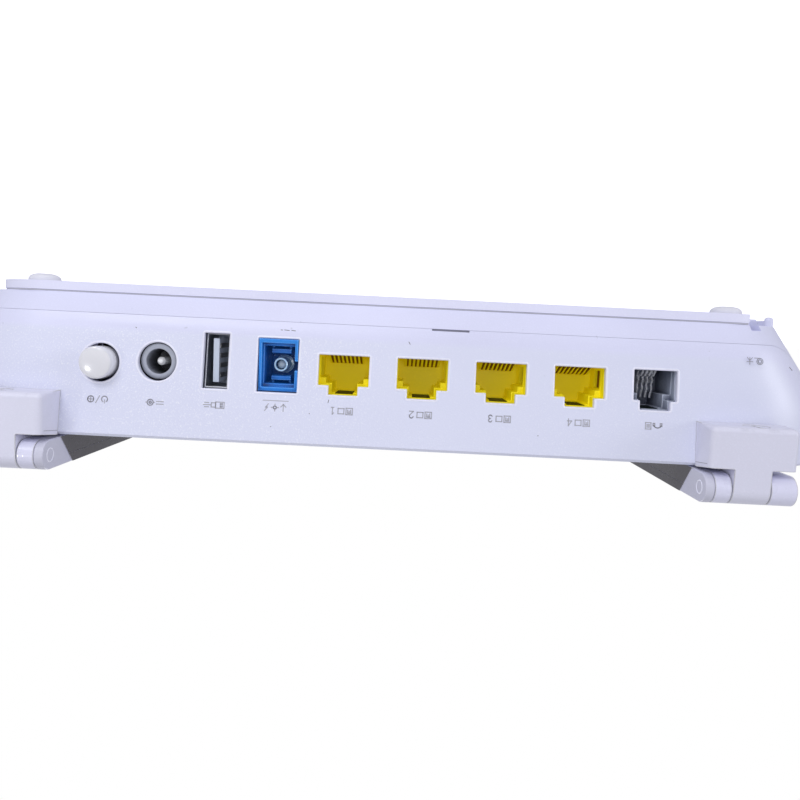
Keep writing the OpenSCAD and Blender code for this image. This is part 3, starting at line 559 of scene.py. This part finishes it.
def add_marks():
    """A small pictogram beside each opening: what plugs in there, drawn in plain strokes."""
    low, high = -0.8, 0.8
    add_mark("mark_on_off", BUTTON_X, MARK_Z, [
        arc(-1.7, -0.1, 0.7, 125, 415), [(-1.7, 0.1), (-1.7, high)],
        [(-0.45, low), (0.35, high)],
        ring(1.6, 0, 0.72), [(1.6, -0.72), (1.6, 0.72)], [(0.88, 0), (2.32, 0)]])
    add_mark("mark_power", DC_X - 0.2, MARK_Z + 0.1, [
        [(-1.9, 0.35), (-0.3, 0.35)], [(-1.9, -0.25), (-1.5, -0.25)], [(-1.3, -0.25), (-0.9, -0.25)],
        [(-0.7, -0.25), (-0.3, -0.25)], ring(1.2, 0, 0.7), ring(1.2, 0, 0.25), [(0.2, 0), (0.5, 0)],
        [(1.9, 0), (2.2, 0)]])
    add_mark("mark_usb", USB_X - 0.2, MARK_Z, [
        frame_line(-1.4, 0, 1.0, 0.72), frame_line(-1.75, 0.3, 0.22, 0.12),
        frame_line(-1.75, -0.3, 0.22, 0.12), frame_line(0.15, 0, 0.5, 0.5),
        [(0.7, 0), (2.5, 0)], [(1.3, 0.5), (2.2, 0.5)], [(1.3, -0.5), (2.2, -0.5)]])
    add_mark("mark_optical", SC_X, MARK_Z - 0.1, [
        [(-1.9, high), (-1.9, low)], [(-2.5, -0.2), (-1.9, low), (-1.3, -0.2)],
        ring(0.1, 0, 0.35), [(0.1, 0.55), (0.1, high)], [(0.1, -0.55), (0.1, low)],
        [(-0.45, 0), (-0.75, 0)], [(0.65, 0), (0.95, 0)], [(1.7, low), (2.3, 0), (1.9, 0), (2.5, high)]])
    add_mark("mark_optical_line", SC_X, 28.0, [[(-3, 0), (3, 0)]], 0.2)
    for i, x in enumerate(LAN_X):
        add_mark(f"mark_lan_{i + 1}", x + 0.1, MARK_Z, [
            frame_line(-1.9, 0, 0.75, 0.75), [(-2.25, -0.35), (-2.25, 0.4), (-1.55, 0.4), (-1.55, -0.35)],
            [(-1.9, 0.4), (-1.9, -0.1)], frame_line(0.05, 0, 0.7, 0.62)]
            + [[(2.1 + a, b) for a, b in line] for line in NUMERALS[i + 1]])
    add_mark("mark_phone", PHONE_X + 0.3, MARK_Z - 0.1, [
        arc(-1.0, -0.7, 1.1, 150, 30), frame_line(-1.85, -0.35, 0.2, 0.28),
        frame_line(-0.15, -0.35, 0.2, 0.28), frame_line(1.2, 0, 0.65, 0.75),
        [(0.9, 0.3), (1.5, 0.3)], [(0.9, 0), (1.5, 0)], [(0.9, -0.3), (1.5, -0.3)]])
    add_mark("mark_fibre", -89.3, 13.1, [
        ring(-1.1, 0.05, 0.72), ring(-1.1, 0.05, 0.4), [(-1.1, -0.72), (0.2, -0.72)],
        [(0.6, 0.2), (2.0, 0.2)], [(1.3, high), (1.3, low)], [(0.7, low), (1.3, -0.1), (1.9, low)]],
        0.18, "seam_grey")


def add_scuffs():
    """A few short dark rubs and specks from handling."""
    add_mark("scuffs", 0, 0, [
        [(20.6, 11.25), (21.5, 11.2)], [(22.1, 11.22), (23.2, 11.16)], [(23.7, 11.2), (24.1, 11.18)],
        [(11.8, 27.2), (11.95, 27.9)], [(-6.6, 12.6), (-6.9, 13.1)], [(58.8, 12.2), (58.6, 12.35)],
        [(16.2, 30.6), (16.28, 30.68)], [(-14.9, 23.9), (-14.8, 24)], [(25.2, 34.1), (25.3, 34.15)],
        [(-38.2, 33.2), (-38.3, 33.26)], [(-97.5, 14.2), (-98.1, 14.9)]], 0.14, "scuff_grey")


def add_button():
    """The glossy key cap, slightly domed, with a rounded edge."""
    profile = [(1.0, 3.485), (2.0, 3.435), (2.8, 3.36), (3.3, 3.29), (3.5, 3.23), (3.64, 3.14), (3.74, 3.0),
               (3.8, 2.8), (3.9, 1.8), (3.9, -2.0), (3.9, -5.5)]
    crown = 3.50
    count = 64
    base_y = PANEL_FOOT_Y + (BUTTON_Z - FOOT_Z) * LEAN_SLOPE
    points = [Vector((BUTTON_X, base_y - crown, BUTTON_Z)) * MM]
    for radius, out in profile:
        points += [Vector((x, base_y - out, z)) * MM for x, z in circle(BUTTON_X, BUTTON_Z, radius, count)]
    faces = fan(count) + loops_to_faces(len(profile), count, first=1, flip=True)
    back = 1 + (len(profile) - 1) * count
    faces.append(tuple(back + i for i in reversed(range(count))))
    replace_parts(add_mesh("power_button_cap", points, faces, "white_gloss", "power_key"), "power_button")


# ---------- lines on the cover and brackets ----------

def cover_outline(inset):
    """The fibre cover's plan, with the rear corner by the fibre inlet cut back."""
    half, y0, y1, r = 100 - inset, -61.4 + inset, 57.0 - inset, 16 - inset
    cut_x, cut_y = -90.7 + inset, -38 + inset
    start = 360 - math.degrees(math.acos((cut_x + half - r) / r))
    return (arc(half - r, y1 - r, r, 0, 90) + arc(r - half, y1 - r, r, 90, 180)
            + [(-half, cut_y), (cut_x, cut_y)]
            + arc(r - half, y0 + r, r, start, 270) + arc(half - r, y0 + r, r, 270, 360))


def add_cover_gasket():
    """The pale lip behind the gap between the fibre cover and the tray."""
    path = cover_outline(0.2)
    points = [Vector((x, y, z)) * MM for z in (3.6, 4.33) for x, y in path]
    add_mesh("cover_gasket", points, loops_to_faces(2, len(path)), "lip_grey", "fibre_lid")


def add_bracket_seams():
    """The joint line between each bracket's two mouldings, near its top on the side faces."""
    top_z, top_slope = 38.4, 0.1125
    front, back = -77.6, -71.1
    upper, lower = 0.9, 1.05             # the line's edges below the bracket's top
    proud = 0.015
    for side, sx in SIDES:
        for end, x in (("inner", 75.7 - proud), ("outer", 95.7 + proud)):
            points = [Vector((sx * x, y, top_z + top_slope * (y - PANEL_Y) - drop)) * MM
                      for y, drop in ((front, lower), (back, lower), (back, upper), (front, upper))]
            add_mesh(f"bracket_seam_{end}_{side}", points, [(0, 1, 2, 3)], "seam_grey", "housing",
                     smooth=False)


# ---------- what shows inside the openings ----------

def add_block(name, low, high, material):
    """A box between two corners that rides on the housing."""
    points = [Vector((x, y, z)) * MM for z in (low[2], high[2]) for x, y in
              ((low[0], low[1]), (high[0], low[1]), (high[0], high[1]), (low[0], high[1]))]
    faces = [(3, 2, 1, 0), (4, 5, 6, 7), (0, 1, 5, 4), (1, 2, 6, 5), (2, 3, 7, 6), (3, 0, 4, 7)]
    add_mesh(name, points, faces, material, "housing", bevel=0.00005)


def add_latch_plates():
    """Painted shade: a nearly black, green-tinged plate at the open end of each latch notch, where the
    notch's far end lies in shade.
    """
    for i, x in enumerate(LAN_X + [PHONE_X]):
        add_block(f"latch_plate_{i + 1}", (x - 2.15, -66.0, 25.85), (x + 2.15, -57.2, 26.35), "dark_green")


def add_side_slots():
    """Painted shade: dark brown sheets at the bottoms of the slots in the network sockets' side walls."""
    for i, x in enumerate(LAN_X):
        for end, side in (("a", -1), ("b", 1)):
            near, far = sorted((x + side * 6.6, x + side * 7.2))
            add_block(f"slot_floor_{end}_{i + 1}", (near, -63.55, 17.5), (far, -58.75, 21.7), "slot_painted_shade")


def add_wire(name, path, x, width, thick, material):
    """A flat spring wire that follows a path of (y, z) points."""
    points = []
    for k, (y, z) in enumerate(path):
        before, after = Vector(path[max(k - 1, 0)]), Vector(path[min(k + 1, len(path) - 1)])
        along = (after - before).normalized()
        side = Vector((-along.y, along.x)) * thick / 2
        for dx, turn in ((-1, -1), (1, -1), (1, 1), (-1, 1)):
            points.append(Vector((x + dx * width / 2, y + side.x * turn, z + side.y * turn)) * MM)
    last = 4 * (len(path) - 1)
    faces = loops_to_faces(len(path), 4, flip=True) + [(0, 1, 2, 3), (last + 3, last + 2, last + 1, last)]
    add_mesh(name, points, faces, material, "housing", bevel=0.00004)


def add_phone_wires():
    """The phone socket's four spring wires, standing almost upright with two kinks each."""
    path = [(-64.8, 16.1), (-62.6, 16.3), (-60.4, 17.0), (-59.9, 18.3), (-60.9, 19.2), (-60.0, 20.4),
            (-60.6, 21.4), (-59.8, 22.6), (-59.6, 23.6)]
    pitch = 1.15
    for k in range(4):
        add_wire(f"phone_wire_{k + 1}", path, PHONE_X + (k - 1.5) * pitch, 0.42, 0.3, "contact_metal")


def add_power_leaf():
    """The split leaf contact beside the power inlet's pin."""
    path = ((-2.75, -64.9), (-2.2, -63.2), (-1.9, -61.0), (-2.2, -58.4))
    half_w, thick, pitch = 0.34, 0.18, 0.95
    for k in range(3):
        z = DC_Z + (k - 1) * pitch
        points = [Vector((DC_X + x + dx, y, z + dz)) * MM for x, y in path
                  for dz, dx in ((-half_w, 0), (half_w, 0), (half_w, -thick), (-half_w, -thick))]
        faces = loops_to_faces(len(path), 4) + [(3, 2, 1, 0), (12, 13, 14, 15)]
        add_mesh(f"power_leaf_{k + 1}", points, faces, "pin_metal", "housing", bevel=0.00004)


def add_ferrule():
    """The polished white pin inside the optical adapter's sleeve."""
    profile = [(0.35, -62.93), (0.7, -62.85), (0.92, -62.7), (1.12, -62.3), (1.15, -61.9), (1.15, -57.2)]
    tip_y = -62.95
    count = 32
    points = [Vector((SC_X, tip_y, SC_Z)) * MM]
    for radius, y in profile:
        points += [Vector((x, y, z)) * MM for x, z in circle(SC_X, SC_Z, radius, count)]
    faces = fan(count) + loops_to_faces(len(profile), count, first=1, flip=True)
    add_mesh("optical_ferrule", points, faces, "ferrule_white", "housing")


# ---------- the antennas' side caps ----------

def add_side_cap(side, sx):
    """The slanted cap on the hinge fork's inner ear."""
    slant = [(5.09, -BARREL_R), (11.31, BARREL_R)]
    outline = slant + arc(0, 0, BARREL_R, 90, 270, 32)
    count = len(outline)
    points = [Vector((sx * x, y + HINGE_Y, z + HINGE_Z)) * MM for x in CAP_X for y, z in outline]
    faces = [tuple(range(count)), tuple(reversed(range(count, 2 * count)))]
    faces += loops_to_faces(2, count, flip=True)
    if sx > 0:
        faces = [tuple(reversed(face)) for face in faces]
    cap = add_mesh(f"side_cap_{side}", points, faces, "cap_shaded_white", f"{side}_antenna", bevel=0.0003)
    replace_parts(cap, f"antenna_side_cap_{side}")


def add_pin_ring(side, sx):
    """The fine raised ring on a side cap, over the hinge pin, painted lighter as a highlight."""
    profile = [(1.70, -0.03), (1.64, 0.09), (1.53, 0.14), (1.42, 0.09), (1.36, -0.03)]
    count = 40
    points = [Vector((sx * (CAP_X[0] - lift), y + HINGE_Y, z + HINGE_Z)) * MM
              for radius, lift in profile for y, z in circle(0, 0, radius, count)]
    faces = loops_to_faces(len(profile), count)
    add_mesh(f"hinge_pin_ring_{side}", points, faces, "rim_highlit_white", f"{side}_antenna")


def add_side_caps():
    for side, sx in SIDES:
        add_side_cap(side, sx)
        add_pin_ring(side, sx)


add_rims()
add_marks()
add_scuffs()
add_button()
add_cover_gasket()
add_bracket_seams()
add_latch_plates()
add_side_slots()
add_phone_wires()
add_power_leaf()
add_ferrule()
add_side_caps()
# Painted shade: a grey sheet at the pry slot's floor darkens the slot.
add_block("pry_slot_floor", (-21.2, -65.6, 8.6), (-11.8, -65.2, 9.75), "seam_grey")


# ---------- floor and light ----------

def add_floor():
    """A plain pale floor that gives out a little light, and neither reflects in the object nor tints it."""
    mesh = bpy.data.meshes.new("floor")
    half = 3.0
    corners = [(-half, -half, 0), (half, -half, 0), (half, half, 0), (-half, half, 0)]
    mesh.from_pydata(corners, [], [(0, 1, 2, 3)])
    floor = bpy.data.objects.new("floor", mesh)
    bpy.context.scene.collection.objects.link(floor)
    m = Nodes("floor")
    tone = m.mix(m.noise(3, 2), (0.90, 0.90, 0.92), (0.94, 0.94, 0.96))
    m.set(Base_Color=tone, Roughness=0.7, Emission_Color=tone, Emission_Strength=0.8)
    mesh.materials.append(m.material)
    floor.visible_shadow = False
    floor.visible_diffuse = False
    floor.visible_glossy = False


PANEL_SPOT = (0, -0.07, 0.02)
COOL = (0.98, 0.985, 1.05)


def add_area(name, place, target, size, power, colour=(1, 1, 1)):
    """A rectangular lamp that faces a target."""
    data = bpy.data.lights.new(name, "AREA")
    data.shape = "RECTANGLE"
    data.size, data.size_y = size
    data.energy = power
    data.color = colour
    light = bpy.data.objects.new(name, data)
    light.location = place
    light.rotation_euler = (Vector(target) - Vector(place)).to_track_quat("-Z", "Y").to_euler()
    bpy.context.scene.collection.objects.link(light)


def add_world():
    """White behind the object, with a dimmer, even light from all round."""
    world = bpy.data.worlds.new("studio")
    world.use_nodes = True
    tree = world.node_tree
    room = tree.nodes["Background"]
    room.inputs["Color"].default_value = (0.97, 0.975, 1.0, 1)
    room.inputs["Strength"].default_value = 0.47
    seen = tree.nodes.new("ShaderNodeBackground")
    seen.inputs["Strength"].default_value = 1.0
    seen.inputs["Color"].default_value = (1, 1, 1, 1)
    choice = tree.nodes.new("ShaderNodeMixShader")
    tree.links.new(tree.nodes.new("ShaderNodeLightPath").outputs["Is Camera Ray"], choice.inputs["Fac"])
    tree.links.new(room.outputs[0], choice.inputs[1])
    tree.links.new(seen.outputs[0], choice.inputs[2])
    tree.links.new(choice.outputs[0], tree.nodes["World Output"].inputs["Surface"])
    bpy.context.scene.world = world


add_floor()
add_world()
add_area("key_below", (0.24, -0.50, -0.42), (0.04, -0.06, 0.03), (0.3, 0.2), 1.3, COOL)
add_area("front_fill", (0.24, -0.60, -0.10), (0.04, -0.07, 0.02), (0.9, 0.22), 0.3, COOL)
add_area("under", (0.05, -0.15, -0.75), (0, -0.03, 0.0), (0.5, 0.3), 0.8, COOL)
add_area("top_fill", (0.0, -0.55, 0.42), (0, -0.07, 0.03), (1.2, 0.16), 0.4, COOL)
add_area("window", (0.42, -0.66, 0.137), (0.067, -0.077, 0.021), (0.05, 0.05), 0.3)
add_area("side_far", (-1.6, -0.50, -0.35), PANEL_SPOT, (0.6, 0.6), 6.5, COOL)
add_area("glint", (-0.05, -0.5, -0.03), PANEL_SPOT, (0.03, 0.03), 0.12)
add_area("overhead", (0.1, 0.6, 0.9), (0, 0, 0.03), (0.7, 0.5), 4.5)

bpy.context.scene.view_settings.view_transform = "Standard"
